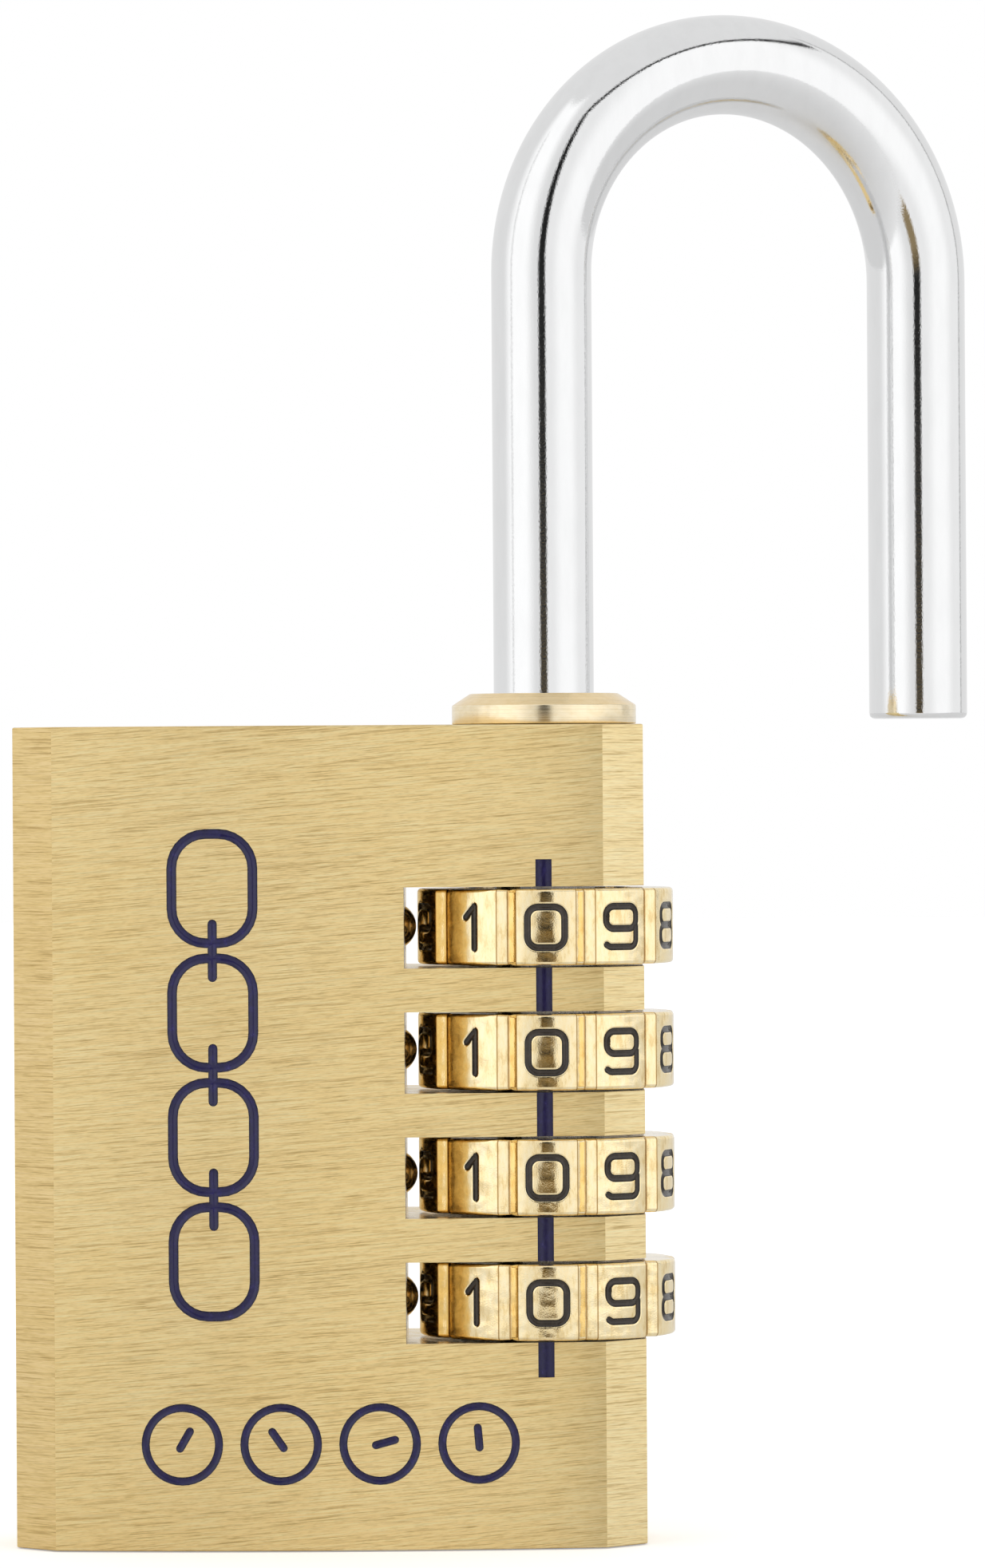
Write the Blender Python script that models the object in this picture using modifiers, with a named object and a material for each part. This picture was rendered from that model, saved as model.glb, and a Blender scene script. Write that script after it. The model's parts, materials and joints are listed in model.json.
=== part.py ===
"""An open combination padlock: a solid brass case with four number wheels in slots.

Run it with  blender --background --python part.py  or from Blender's text editor.
Units are metres. +Z is up, X runs across the case towards its wheels, and Y runs from
the front face to the back. The origin is the centre of the case's base.

The lock is modelled open. Its shackle is lifted by one wheel pitch and swung round
until the short leg stands to the right of the case, a little to the back.
"""

import math

import bmesh
import bpy
from mathutils import Matrix, Vector

# Case: a block with crowned front and back faces and a facet down each corner
CASE_WIDTH = 0.0500
CASE_HEIGHT = 0.0650
CASE_HALF_DEPTH = 0.0096
CROWN_HALF_WIDTH = 0.02175
CROWN_DROP = 0.0014
SIDE_HALF_DEPTH = 0.0049
CASE_EDGE = 0.0003

# Shackle: a round rod, and the axis of its long leg
AXIS_X = 0.0172
LEG_SPACING = 2 * AXIS_X
ROD_RADIUS = 0.0040
SPRING_LINE_Z = 0.1011
LONG_LEG_FOOT_Z = 0.0576
SHORT_LEG_FOOT_Z = 0.06545
ROD_CHAMFER = 0.0005
SWING = math.radians(26.8)
SHORT_HOLE_FLOOR_Z = 0.0549

# Wheels, numbered from the top
WHEELS = 4
DIGITS = 10
WHEEL_PITCH = 0.00985
TOP_WHEEL_Z = 0.0490
WHEEL_HEIGHT = 0.0060
WHEEL_RADIUS = 0.01025
FACET_EDGE_RADIUS = 0.0102
WHEEL_GROOVE_RADIUS = 0.00965
WHEEL_GROOVE_WIDTH = 0.00156
SLOT_HEIGHT = 0.0064
SLOT_LEFT_X = 0.0060

# Code rings, splined into the wheels
RING_HEIGHT = 0.0058
RING_BORE_RADIUS = 0.0042
RING_RADIUS = 0.0070
SPLINE_REACH = 0.0007
SPLINE_SHARE = 0.45
SPLINE_GAP = 0.0001

# Bores on the axis, and the keyway that the spindle's lugs slide in
BORE_RADIUS = 0.00425
KEYWAY_REACH = 0.0061
KEYWAY_HALF_WIDTH = 0.0013
KEYWAY_FLOOR_Z = 0.0126
BUSH_SEAT_Z = 0.0554
PLUG_SEAT_Z = 0.0034
SEAT_RADIUS = 0.0061

# Spindle
SPINDLE_FOOT_Z = 0.0155
SPINDLE_NECK_Z = 0.0573
SPINDLE_TOP_Z = 0.0628
NECK_RADIUS = 0.0020
NECK_GROOVE_RADIUS = 0.0012
LUG_REACH = 0.0058
LUG_HALF_WIDTH = 0.0011
LUG_HEIGHT = 0.0028
SPRING_BORE_RADIUS = 0.0029
SPRING_BORE_TOP_Z = 0.0430

# Bush round the long leg, with a wide chamfer above its flange
BUSH_FLANGE_RADIUS = 0.00735
BUSH_HEIGHT = 0.0025
BUSH_CHAMFER_WIDTH = 0.00145
BUSH_CHAMFER_DROP = 0.00095
BUSH_RADIUS = 0.0060
BUSH_BORE_RADIUS = 0.00415
BUSH_LEAD_IN = 0.0004

# Plug under the bore, with a driver slot below and a boss that centres the spring
PLUG_RADIUS = 0.0060
PLUG_EDGE = 0.0003
PLUG_BOSS_RADIUS = 0.0017
PLUG_BOSS_HEIGHT = 0.0018
PLUG_SLOT_LENGTH = 0.0090
PLUG_SLOT_WIDTH = 0.0012
PLUG_SLOT_TOP_Z = 0.0012

# Cross pin that holds the shackle on the spindle's neck
PIN_RADIUS = 0.0006
PIN_OFFSET = 0.0019
PIN_Z = 0.0608
PIN_LENGTH = 0.0066

# Detents: a ball and a spring in a blind hole at the end of each slot
BALL_RADIUS = 0.0019
BALL_GAP = 0.00005
BALL_X = AXIS_X - WHEEL_RADIUS - BALL_GAP - BALL_RADIUS
BALL_HOLE_RADIUS = 0.00205
BALL_HOLE_END_X = -0.0065

# Springs, each a coil of round wire
DETENT_COIL_RADIUS = 0.00135
DETENT_WIRE_RADIUS = 0.0002
DETENT_TURNS = 6
SHACKLE_COIL_RADIUS = 0.0024
SHACKLE_WIRE_RADIUS = 0.0003
SHACKLE_TURNS = 12

# Index line on the front face
INDEX_WIDTH = 0.00113
INDEX_TOP_Z = 0.05435
INDEX_FOOT_Z = 0.0135
INDEX_DEPTH = 0.0004

FIT_GAP = 0.0002  # between pieces that fit together
PAST = 0.002  # how far a cutter runs past the face that it opens
ROUND_STEPS = 32

BRASS = ((0.72, 0.55, 0.26), 0.38, 1.0)
POLISHED_BRASS = ((0.84, 0.66, 0.32), 0.20, 1.0)
CHROME = ((0.80, 0.80, 0.81), 0.08, 1.0)
STEEL = ((0.56, 0.56, 0.57), 0.25, 1.0)
SPRING_STEEL = ((0.42, 0.42, 0.44), 0.32, 1.0)


def clear_scene():
    for obj in list(bpy.data.objects):
        bpy.data.objects.remove(obj)


def new_collection(name):
    made = bpy.data.collections.new(name)
    bpy.context.scene.collection.children.link(made)
    return made


def new_material(name, colour, roughness, metallic):
    made = bpy.data.materials.new(name)
    made.use_nodes = True
    shader = made.node_tree.nodes["Principled BSDF"]
    shader.inputs["Base Color"].default_value = (*colour, 1.0)
    shader.inputs["Roughness"].default_value = roughness
    shader.inputs["Metallic"].default_value = metallic
    return made


def wheel_z(number):
    return TOP_WHEEL_Z - (number - 1) * WHEEL_PITCH


def polar(radius, angle):
    return (radius * math.cos(angle), radius * math.sin(angle))


def finish(obj, look, round_shape):
    """Gives a part its own material and puts it in the padlock's collection."""
    obj.data.materials.append(new_material(obj.name, *look))
    if round_shape:
        obj.data.shade_smooth()
        obj.data.set_sharp_from_angle(angle=math.radians(35))
    return obj


def linked(name, mesh, collection, location=(0, 0, 0)):
    obj = bpy.data.objects.new(name, mesh)
    obj.location = location
    collection.objects.link(obj)
    return obj


def helper(name, mesh, location=(0, 0, 0)):
    """A cutter or another helper: it is drawn as a wire and left out of renders."""
    obj = linked(name, mesh, cutters, location)
    obj.hide_render = True
    obj.display_type = "WIRE"
    return obj


def boxes_mesh(name, boxes):
    """One mesh of separate boxes, each given by its lowest and highest corner."""
    bm = bmesh.new()
    for low, high in boxes:
        low, high = Vector(low), Vector(high)
        scale = Matrix.Diagonal((*(high - low), 1))
        place = Matrix.Translation((low + high) / 2)
        bmesh.ops.create_cube(bm, size=1, matrix=place @ scale)
    mesh = bpy.data.meshes.new(name)
    bm.to_mesh(mesh)
    bm.free()
    return mesh


def rod_mesh(name, radius, length, axis, segments=ROUND_STEPS):
    """A plain cylinder centred on the origin, along X, Y or Z."""
    turn = {
        "X": Matrix.Rotation(math.pi / 2, 4, "Y"),
        "Y": Matrix.Rotation(math.pi / 2, 4, "X"),
        "Z": Matrix.Identity(4),
    }[axis]
    bm = bmesh.new()
    bmesh.ops.create_cone(
        bm, cap_ends=True, segments=segments, radius1=radius, radius2=radius, depth=length, matrix=turn
    )
    mesh = bpy.data.meshes.new(name)
    bm.to_mesh(mesh)
    bm.free()
    return mesh


def turned(obj_name, profile, make, closed=False, steps=ROUND_STEPS):
    """A turned shape about the wheels' axis, from a profile of (radius, z) points.

    The profile runs down its outer side. A closed one is a ring in section, and an
    open one begins and ends on the axis.
    """
    mesh = bpy.data.meshes.new(obj_name)
    count = len(profile)
    edges = [(i, i + 1) for i in range(count - 1)]
    if closed:
        edges.append((count - 1, 0))
    mesh.from_pydata([(radius, 0, z) for radius, z in profile], edges, [])
    obj = make(obj_name, mesh, (AXIS_X, 0, 0))
    screw = obj.modifiers.new("Turn", "SCREW")
    screw.axis = "Z"
    screw.steps = steps
    screw.render_steps = steps
    screw.use_merge_vertices = True
    screw.merge_threshold = 0.00001
    return obj


def part(name, mesh, location=(0, 0, 0)):
    return linked(name, mesh, padlock, location)


def slab_mesh(name, outlines, height):
    """A flat outline extruded to a height, centred on z = 0. Inner outlines are holes."""
    curve = bpy.data.curves.new(name, "CURVE")
    curve.dimensions = "2D"
    curve.fill_mode = "BOTH"
    curve.extrude = height / 2
    for outline in outlines:
        spline = curve.splines.new("POLY")
        spline.points.add(len(outline) - 1)
        spline.use_cyclic_u = True
        for point, (x, y) in zip(spline.points, outline):
            point.co = (x, y, 0, 1)
    return baked(curve)


def wire_mesh(name, points, radius, bevel_resolution, tapers=None):
    """A round rod or wire along the points, with filled ends."""
    curve = bpy.data.curves.new(name, "CURVE")
    curve.dimensions = "3D"
    curve.bevel_depth = radius
    curve.bevel_resolution = bevel_resolution
    curve.use_fill_caps = True
    spline = curve.splines.new("POLY")
    spline.points.add(len(points) - 1)
    for index, (point, place) in enumerate(zip(spline.points, points)):
        point.co = (*place, 1)
        point.radius = tapers[index] if tapers else 1.0
    return baked(curve)


def baked(curve):
    """The curve's evaluated mesh with its caps welded on."""
    guide = bpy.data.objects.new(curve.name, curve)
    cutters.objects.link(guide)
    graph = bpy.context.evaluated_depsgraph_get()
    mesh = bpy.data.meshes.new_from_object(guide.evaluated_get(graph))
    mesh.name = curve.name
    bpy.data.objects.remove(guide)
    bm = bmesh.new()
    bm.from_mesh(mesh)
    bmesh.ops.remove_doubles(bm, verts=bm.verts, dist=0.00001)
    bmesh.ops.recalc_face_normals(bm, faces=bm.faces)
    bm.to_mesh(mesh)
    bm.free()
    return mesh


def boolean(obj, other, operation="DIFFERENCE"):
    modifier = obj.modifiers.new(other.name, "BOOLEAN")
    modifier.operation = operation
    modifier.solver = "EXACT"
    modifier.object = other


def case_outline():
    """The case seen from above: two crowned faces, two sides, four corner facets."""
    crown_radius = (CROWN_HALF_WIDTH**2 + CROWN_DROP**2) / (2 * CROWN_DROP)
    reach = math.asin(CROWN_HALF_WIDTH / crown_radius)
    steps = 10
    back = []
    for i in range(steps + 1):
        angle = math.pi / 2 - reach + 2 * reach * i / steps
        x, y = polar(crown_radius, angle)
        back.append((x, y - crown_radius + CASE_HALF_DEPTH))
    left = [(-CASE_WIDTH / 2, SIDE_HALF_DEPTH), (-CASE_WIDTH / 2, -SIDE_HALF_DEPTH)]
    front = [(-x, -y) for x, y in back]
    right = [(-x, -y) for x, y in left]
    return back + left + front + right


def wheel_outline():
    """Ten slightly convex facets with a V groove between each two."""
    half_groove = WHEEL_GROOVE_WIDTH / 2 / FACET_EDGE_RADIUS
    half_facet = math.pi / DIGITS - half_groove
    outline = []
    for digit in range(DIGITS):
        middle = -math.pi / 2 + digit * math.tau / DIGITS
        outline.append(polar(FACET_EDGE_RADIUS, middle - half_facet))
        outline.append(polar(WHEEL_RADIUS, middle))
        outline.append(polar(FACET_EDGE_RADIUS, middle + half_facet))
        outline.append(polar(WHEEL_GROOVE_RADIUS, middle + math.pi / DIGITS))
    return outline


def spline_outline(grow=0.0):
    """A round outline with one straight-sided spline for each digit."""
    half_tooth = SPLINE_SHARE * math.pi / DIGITS + grow / RING_RADIUS
    outline = []
    for tooth in range(DIGITS):
        middle = tooth * math.tau / DIGITS
        for radius, side in ((0, -1), (SPLINE_REACH, -1), (SPLINE_REACH, 1), (0, 1)):
            outline.append(polar(RING_RADIUS + grow + radius, middle + side * half_tooth))
    return outline


def keyed_outline(radius, reach, half_width, steps=28):
    """A round hole with a keyway towards -X."""
    start = math.asin(half_width / radius)
    arc = [
        polar(radius, math.pi + start + i * (math.tau - 2 * start) / steps)
        for i in range(steps + 1)
    ]
    return [(-reach, -half_width), *arc, (-reach, half_width)]


def coil_points(radius, length, turns, steps_per_turn):
    """A helix along +Z from z = 0, with its last turn at each end closed up."""
    total = round(turns * steps_per_turn)
    points = []
    for i in range(total + 1):
        x, y = polar(radius, math.tau * i / steps_per_turn)
        share = i / total
        eased = share - 0.5 / turns * math.sin(math.tau * share)
        points.append((x, y, length * eased))
    return points


def shackle_path():
    """The middle of the rod: up the long leg, round the bow and down the short leg."""
    bend_radius = LEG_SPACING / 2
    steps = 22
    path = [(0, 0, LONG_LEG_FOOT_Z), (0, 0, LONG_LEG_FOOT_Z + ROD_CHAMFER)]
    for i in range(steps + 1):
        x, z = polar(bend_radius, math.pi - math.pi * i / steps)
        path.append((bend_radius + x, 0, SPRING_LINE_Z + z))
    path.append((LEG_SPACING, 0, SHORT_LEG_FOOT_Z + ROD_CHAMFER))
    path.append((LEG_SPACING, 0, SHORT_LEG_FOOT_Z))
    return path


def make_case():
    """The solid brass case, with everything that is machined out of it."""
    block = slab_mesh("lock_body", [case_outline()], CASE_HEIGHT)
    case = part("lock_body", block, (0, 0, CASE_HEIGHT / 2))
    edges = case.modifiers.new("Edges", "BEVEL")
    edges.width = CASE_EDGE
    edges.segments = 1
    edges.limit_method = "ANGLE"
    edges.angle_limit = math.radians(60)

    slots = []
    for number in range(1, WHEELS + 1):
        low_z = wheel_z(number) - SLOT_HEIGHT / 2
        high_z = wheel_z(number) + SLOT_HEIGHT / 2
        far_y = CASE_HALF_DEPTH + PAST
        slots.append(((SLOT_LEFT_X, -far_y, low_z), (CASE_WIDTH / 2 + PAST, far_y, high_z)))
    boolean(case, helper("wheel_slots", boxes_mesh("wheel_slots", slots)))

    bore = [
        (0, CASE_HEIGHT + PAST),
        (SEAT_RADIUS, CASE_HEIGHT + PAST),
        (SEAT_RADIUS, BUSH_SEAT_Z),
        (BORE_RADIUS, BUSH_SEAT_Z),
        (BORE_RADIUS, PLUG_SEAT_Z),
        (SEAT_RADIUS, PLUG_SEAT_Z),
        (SEAT_RADIUS, -PAST),
        (0, -PAST),
    ]
    boolean(case, turned("axis_bore", bore, helper))

    keyway = (
        (AXIS_X - KEYWAY_REACH, -KEYWAY_HALF_WIDTH, KEYWAY_FLOOR_Z),
        (AXIS_X, KEYWAY_HALF_WIDTH, BUSH_SEAT_Z + PAST / 2),
    )
    boolean(case, helper("keyway", boxes_mesh("keyway", [keyway])))

    hole_depth = CASE_HEIGHT - SHORT_HOLE_FLOOR_Z + PAST
    hole = rod_mesh("short_leg_hole", BORE_RADIUS, hole_depth, "Z")
    boolean(case, helper("short_leg_hole", hole, (-AXIS_X, 0, SHORT_HOLE_FLOOR_Z + hole_depth / 2)))

    ball_hole_length = SLOT_LEFT_X + PAST / 2 - BALL_HOLE_END_X
    for number in range(1, WHEELS + 1):
        name = f"ball_hole_{number}"
        mesh = rod_mesh(name, BALL_HOLE_RADIUS, ball_hole_length, "X", 20)
        place = (BALL_HOLE_END_X + ball_hole_length / 2, 0, wheel_z(number))
        boolean(case, helper(name, mesh, place))

    face_y = -CASE_HALF_DEPTH + CROWN_DROP * (AXIS_X / CROWN_HALF_WIDTH) ** 2
    index = (
        (AXIS_X - INDEX_WIDTH / 2, -CASE_HALF_DEPTH - PAST, INDEX_FOOT_Z),
        (AXIS_X + INDEX_WIDTH / 2, face_y + INDEX_DEPTH, INDEX_TOP_Z),
    )
    boolean(case, helper("index_line", boxes_mesh("index_line", [index])))
    return finish(case, BRASS, False)


def make_bush():
    top_z = CASE_HEIGHT + BUSH_HEIGHT
    profile = [
        (BUSH_BORE_RADIUS + BUSH_LEAD_IN, top_z),
        (BUSH_FLANGE_RADIUS - BUSH_CHAMFER_WIDTH, top_z),
        (BUSH_FLANGE_RADIUS, top_z - BUSH_CHAMFER_DROP),
        (BUSH_FLANGE_RADIUS, CASE_HEIGHT + FIT_GAP),
        (BUSH_RADIUS, CASE_HEIGHT + FIT_GAP),
        (BUSH_RADIUS, BUSH_SEAT_Z + FIT_GAP),
        (BUSH_BORE_RADIUS, BUSH_SEAT_Z + FIT_GAP),
        (BUSH_BORE_RADIUS, top_z - BUSH_LEAD_IN),
    ]
    return finish(turned("shackle_bush", profile, part, closed=True), POLISHED_BRASS, True)


def make_plug():
    """The plug under the spindle's bore, with a boss that centres the spring."""
    top_z = PLUG_SEAT_Z - FIT_GAP
    profile = [
        (0, top_z + PLUG_BOSS_HEIGHT),
        (PLUG_BOSS_RADIUS, top_z + PLUG_BOSS_HEIGHT),
        (PLUG_BOSS_RADIUS, top_z),
        (PLUG_RADIUS, top_z),
        (PLUG_RADIUS, FIT_GAP + PLUG_EDGE),
        (PLUG_RADIUS - PLUG_EDGE, FIT_GAP),
        (0, FIT_GAP),
    ]
    plug = turned("bottom_plug", profile, part)
    slot = (
        (AXIS_X - PLUG_SLOT_LENGTH / 2, -PLUG_SLOT_WIDTH / 2, -PAST),
        (AXIS_X + PLUG_SLOT_LENGTH / 2, PLUG_SLOT_WIDTH / 2, PLUG_SLOT_TOP_Z),
    )
    boolean(plug, helper("plug_slot", boxes_mesh("plug_slot", [slot])))
    return finish(plug, BRASS, True)


def make_spindle():
    """The rod under the long leg. Its lugs stand one above each wheel while it is raised."""
    profile = [
        (0, SPINDLE_TOP_Z),
        (NECK_RADIUS, SPINDLE_TOP_Z),
        (NECK_RADIUS, PIN_Z + PIN_RADIUS + FIT_GAP),
        (NECK_GROOVE_RADIUS, PIN_Z + PIN_RADIUS + FIT_GAP),
        (NECK_GROOVE_RADIUS, PIN_Z - PIN_RADIUS - FIT_GAP),
        (NECK_RADIUS, PIN_Z - PIN_RADIUS - FIT_GAP),
        (NECK_RADIUS, SPINDLE_NECK_Z),
        (ROD_RADIUS, SPINDLE_NECK_Z),
        (ROD_RADIUS, SPINDLE_FOOT_Z),
        (SPRING_BORE_RADIUS, SPINDLE_FOOT_Z),
        (SPRING_BORE_RADIUS, SPRING_BORE_TOP_Z),
        (0, SPRING_BORE_TOP_Z),
    ]
    spindle = turned("locking_spindle", profile, part, steps=24)
    inner_x = AXIS_X - (ROD_RADIUS + SPRING_BORE_RADIUS) / 2
    lugs = []
    for number in range(1, WHEELS + 1):
        middle_z = wheel_z(number) + WHEEL_PITCH / 2
        low = (AXIS_X - LUG_REACH, -LUG_HALF_WIDTH, middle_z - LUG_HEIGHT / 2)
        high = (inner_x, LUG_HALF_WIDTH, middle_z + LUG_HEIGHT / 2)
        lugs.append((low, high))
    boolean(spindle, helper("spindle_lugs", boxes_mesh("spindle_lugs", lugs)), "UNION")
    return finish(spindle, STEEL, True)


def make_shackle():
    """The chromed rod. Its long leg is drilled for the spindle's neck and cross-drilled for the pin."""
    path = shackle_path()
    tapers = [1.0] * len(path)
    tapers[0] = 1 - ROD_CHAMFER / ROD_RADIUS
    tapers[-1] = tapers[0]
    shackle = part("shackle", wire_mesh("shackle", path, ROD_RADIUS, 8, tapers), (AXIS_X, 0, 0))
    shackle.rotation_euler.z = SWING

    socket_top_z = SPINDLE_TOP_Z + 2 * FIT_GAP
    socket_depth = socket_top_z - LONG_LEG_FOOT_Z + PAST
    socket = rod_mesh("neck_socket", NECK_RADIUS + FIT_GAP, socket_depth, "Z", 24)
    boolean(shackle, helper("neck_socket", socket, (AXIS_X, 0, socket_top_z - socket_depth / 2)))

    hole_mesh = rod_mesh("pin_hole", PIN_RADIUS + FIT_GAP / 2, 4 * ROD_RADIUS, "Y", 16)
    hole = helper("pin_hole", hole_mesh, pin_place())
    hole.rotation_euler.z = SWING
    boolean(shackle, hole)
    return finish(shackle, CHROME, True)


def pin_place():
    x, y = polar(PIN_OFFSET, SWING)
    return (AXIS_X + x, y, PIN_Z)


def make_pin():
    pin = part("coupling_pin", rod_mesh("coupling_pin", PIN_RADIUS, PIN_LENGTH, "Y", 16), pin_place())
    pin.rotation_euler.z = SWING
    return finish(pin, STEEL, True)


def make_wheel_sets():
    """A number wheel, a code ring, a detent ball and a detent spring for each slot."""
    recess = spline_outline(SPLINE_GAP)
    wheel = slab_mesh("number_wheel", [wheel_outline(), recess], WHEEL_HEIGHT)
    bore = keyed_outline(RING_BORE_RADIUS, KEYWAY_REACH, KEYWAY_HALF_WIDTH)
    ring = slab_mesh("code_ring", [spline_outline(), bore], RING_HEIGHT)
    ball = bpy.data.meshes.new("detent_ball")
    bm = bmesh.new()
    bmesh.ops.create_uvsphere(bm, u_segments=16, v_segments=10, radius=BALL_RADIUS)
    bm.to_mesh(ball)
    bm.free()

    coil_start_x = BALL_HOLE_END_X + DETENT_WIRE_RADIUS + FIT_GAP
    reach = BALL_RADIUS + DETENT_WIRE_RADIUS + FIT_GAP
    coil_end_x = BALL_X - math.sqrt(reach**2 - DETENT_COIL_RADIUS**2)
    points = coil_points(DETENT_COIL_RADIUS, coil_end_x - coil_start_x, DETENT_TURNS, 9)
    coil = wire_mesh("detent_spring", points, DETENT_WIRE_RADIUS, 1)
    coil.transform(Matrix.Rotation(math.pi / 2, 4, "Y"))

    for number in range(1, WHEELS + 1):
        z = wheel_z(number)
        finish(part(f"number_wheel_{number}", wheel.copy(), (AXIS_X, 0, z)), POLISHED_BRASS, False)
        finish(part(f"code_ring_{number}", ring.copy(), (AXIS_X, 0, z)), BRASS, False)
        finish(part(f"detent_ball_{number}", ball.copy(), (BALL_X, 0, z)), STEEL, True)
        finish(part(f"detent_spring_{number}", coil.copy(), (coil_start_x, 0, z)), SPRING_STEEL, True)


def make_shackle_spring():
    foot_z = PLUG_SEAT_Z + SHACKLE_WIRE_RADIUS + FIT_GAP / 2
    top_z = SPRING_BORE_TOP_Z - SHACKLE_WIRE_RADIUS - FIT_GAP
    points = coil_points(SHACKLE_COIL_RADIUS, top_z - foot_z, SHACKLE_TURNS, 10)
    mesh = wire_mesh("shackle_spring", points, SHACKLE_WIRE_RADIUS, 1)
    return finish(part("shackle_spring", mesh, (AXIS_X, 0, foot_z)), SPRING_STEEL, True)


clear_scene()
padlock = new_collection("combination_padlock")
cutters = new_collection("cutters")
make_case()
make_bush()
make_plug()
make_spindle()
make_shackle()
make_pin()
make_wheel_sets()
make_shackle_spring()
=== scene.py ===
"""The looks of an open combination padlock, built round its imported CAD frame. Metres, +Z up."""

import json
import math

import bmesh
import bpy
from mathutils import Matrix, Vector


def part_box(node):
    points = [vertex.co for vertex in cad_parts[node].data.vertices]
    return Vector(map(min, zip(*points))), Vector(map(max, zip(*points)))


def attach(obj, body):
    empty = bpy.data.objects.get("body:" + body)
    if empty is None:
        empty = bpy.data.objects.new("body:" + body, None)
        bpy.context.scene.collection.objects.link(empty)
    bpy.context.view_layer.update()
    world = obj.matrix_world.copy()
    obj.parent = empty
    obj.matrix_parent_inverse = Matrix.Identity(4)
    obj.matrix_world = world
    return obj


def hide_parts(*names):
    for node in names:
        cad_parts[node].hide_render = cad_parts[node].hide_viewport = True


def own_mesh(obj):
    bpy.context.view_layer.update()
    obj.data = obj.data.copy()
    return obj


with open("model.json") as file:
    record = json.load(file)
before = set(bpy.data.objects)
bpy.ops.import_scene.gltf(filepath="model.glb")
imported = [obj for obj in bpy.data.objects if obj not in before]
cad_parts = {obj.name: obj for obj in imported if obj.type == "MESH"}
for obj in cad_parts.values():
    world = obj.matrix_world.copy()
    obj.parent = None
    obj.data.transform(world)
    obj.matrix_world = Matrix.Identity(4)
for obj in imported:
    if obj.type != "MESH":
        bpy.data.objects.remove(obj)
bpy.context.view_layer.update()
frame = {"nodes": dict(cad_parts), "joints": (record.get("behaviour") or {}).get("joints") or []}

# -------- places read from the frame
JOINTS = {joint["name"]: joint for joint in frame["joints"]}
AXIS_X = JOINTS["shackle_swivel"]["pos_m"][0]
CASE_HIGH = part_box("lock_body")[1]
CASE_HEIGHT = CASE_HIGH.z
CASE_HALF_WIDTH = CASE_HIGH.x
CASE_HALF_DEPTH = CASE_HIGH.y
WHEELS = range(1, 5)
WHEEL_LOW, WHEEL_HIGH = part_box("number_wheel_1")
WHEEL_HEIGHT = WHEEL_HIGH.z - WHEEL_LOW.z
WHEEL_RADIUS = (WHEEL_HIGH.y - WHEEL_LOW.y) / 2
SHACKLE_LOW, SHACKLE_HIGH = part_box("shackle")
SPINDLE_TOP_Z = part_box("locking_spindle")[1].z
BUSH_LOW, BUSH_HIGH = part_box("shackle_bush")
PLUG_LOW, PLUG_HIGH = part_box("bottom_plug")
PIN_LOW, PIN_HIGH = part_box("coupling_pin")

# -------- shapes
CROWN_HALF_WIDTH = 0.02175
CROWN_DROP = 0.0014
SIDE_HALF_DEPTH = 0.0049
CASE_EDGE = 0.00012
CROWN_STEPS = 44

ROD_RADIUS = 0.0040
LEG_SPACING = 2 * AXIS_X
SWING = math.radians(26.8)
BEND_RADIUS = AXIS_X
SPRING_LINE_Z = SHACKLE_HIGH.z - BEND_RADIUS - ROD_RADIUS
SHORT_LEG_FOOT_Z = 0.06545
SHORT_HOLE_FLOOR_Z = 0.0549

DIGITS = 10
FACET_CURVE = 0.0094
FACET_EDGE_RADIUS = 0.0102
GROOVE_WIDTH = 0.00162
GROOVE_DEPTH = 0.00053
GROOVE_SOFTNESS = 0.16
VEE_RISE = math.hypot(1, GROOVE_SOFTNESS) - GROOVE_SOFTNESS
RING_RADIUS = 0.0071
SPLINE_REACH = 0.0007
SLOT_HEIGHT = 0.0064
SLOT_LEFT_X = 0.0060
WHEEL_RIM = 0.00030
SKIN_TOLERANCE = 0.00001

BORE_RADIUS = 0.00425
SEAT_RADIUS = 0.0061
KEYWAY_REACH = 0.0061
KEYWAY_HALF_WIDTH = 0.0013
KEYWAY_FLOOR_Z = 0.0126
BUSH_SEAT_Z = 0.0554
PLUG_SEAT_Z = 0.0034
BALL_HOLE_RADIUS = 0.00205
BALL_HOLE_END_X = -0.0065
HOLE_SIDES = 72
BALL_HOLE_SIDES = 48

INDEX_TOP_Z = 0.05435
INDEX_FOOT_Z = 0.0135
MARK_WIDTH = 0.00080
DIAL_WIDTH = 0.00066
INDEX_WIDTH = 0.00128
INDEX_X = AXIS_X - 0.00016
PAST = 0.002


def polar(radius, angle):
    return (radius * math.cos(angle), radius * math.sin(angle))


def wheel_z(number):
    low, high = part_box(f"number_wheel_{number}")
    return (low.z + high.z) / 2


# -------- mesh helpers
def mesh_from(bm, name, materials):
    bmesh.ops.recalc_face_normals(bm, faces=bm.faces)
    mesh = bpy.data.meshes.new(name)
    bm.to_mesh(mesh)
    bm.free()
    for material in materials:
        mesh.materials.append(material)
    return mesh


def placed(name, mesh, location=(0, 0, 0)):
    obj = bpy.data.objects.new(name, mesh)
    obj.location = location
    bpy.context.scene.collection.objects.link(obj)
    return obj


def evaluated_mesh(obj):
    graph = bpy.context.evaluated_depsgraph_get()
    return bpy.data.meshes.new_from_object(obj.evaluated_get(graph), depsgraph=graph)


def carved(obj, cutters):
    """Applies one exact Boolean for each cutter and removes the cutters."""
    for cutter in cutters:
        modifier = obj.modifiers.new(cutter.name, "BOOLEAN")
        modifier.operation = "DIFFERENCE"
        modifier.solver = "EXACT"
        modifier.material_mode = "TRANSFER"
        modifier.object = cutter
    bpy.context.view_layer.update()
    mesh = evaluated_mesh(obj)
    obj.modifiers.clear()
    obj.data = mesh
    for cutter in cutters:
        bpy.data.objects.remove(cutter)
    return obj


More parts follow.
